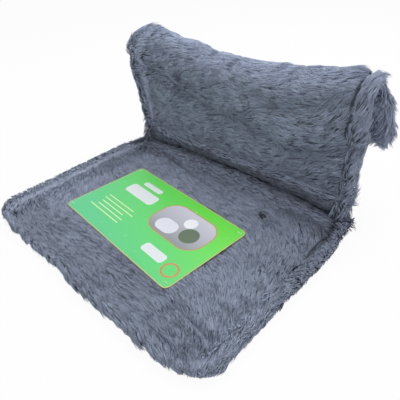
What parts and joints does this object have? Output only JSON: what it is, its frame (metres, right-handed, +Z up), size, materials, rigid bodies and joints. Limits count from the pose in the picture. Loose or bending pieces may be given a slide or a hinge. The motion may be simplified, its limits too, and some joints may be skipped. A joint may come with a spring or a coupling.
{
  "type": "radiator cat hammock",
  "caption": "Plush-covered cat bed on a bent rod frame: padded seat, upright back and two hooks under a fur flap that hang over a radiator; the back folds down onto the seat.",
  "frame": {"origin": "middle of the part's box in plan, on the plane that the seat rests on", "axes": "+X to the right seen from the front, +Y from the seat's front edge towards the radiator, +Z up"},
  "size_m": [0.47, 0.4892, 0.26],
  "materials": {
    "plush": "long pile plush, combed in clumps",
    "lining": "plain woven underside cloth",
    "wadding": "white fibre wadding",
    "closure": "hook and loop tape",
    "frame_steel": "satin grey powder coat",
    "nylon": "moulded nylon",
    "card": null,
    "pin_plastic": "clear white plastic"
  },
  "bodies": {
    "seat": {"seat_frame_rail": "frame_steel", "left_axle_bracket": "frame_steel", "right_axle_bracket": "frame_steel", "hinge_axle": "frame_steel", "axle_washers": "nylon", "axle_end_caps": "nylon", "seat_wadding": "wadding", "seat_base_lining": "lining", "seat_top_plush": "plush", "seat_front_band": "plush", "seat_left_band": "plush", "seat_right_band": "plush", "crease_cover": "plush", "left_corner_cover": "plush", "right_corner_cover": "plush", "rear_corner_cover": "plush", "label_card": "card", "card_tag_pins": "pin_plastic"},
    "back": {"left_hook_arm": "frame_steel", "right_hook_arm": "frame_steel", "hook_cross_rod": "frame_steel", "back_front_plush": "plush", "back_wadding": "wadding", "back_rear_plush": "plush", "left_side_band": "plush", "right_side_band": "plush", "hook_top_plush": "plush", "hook_inner_lining": "plush", "flap_rear_plush": "plush", "flap_front_lining": "plush", "flap_wadding": "wadding", "flap_hem": "plush", "closure_loop_strip": "closure", "closure_hook_strip": "closure"}
  },
  "joints": [
    {"name": "seat_fold", "type": "hinge", "parent": "seat", "child": "back", "pos_m": [0, 0.11635, 0.02], "axis": [1, 0, 0], "range_deg": [0, 70], "deforming": ["crease_cover", "left_corner_cover", "right_corner_cover", "rear_corner_cover"]}
  ]
}
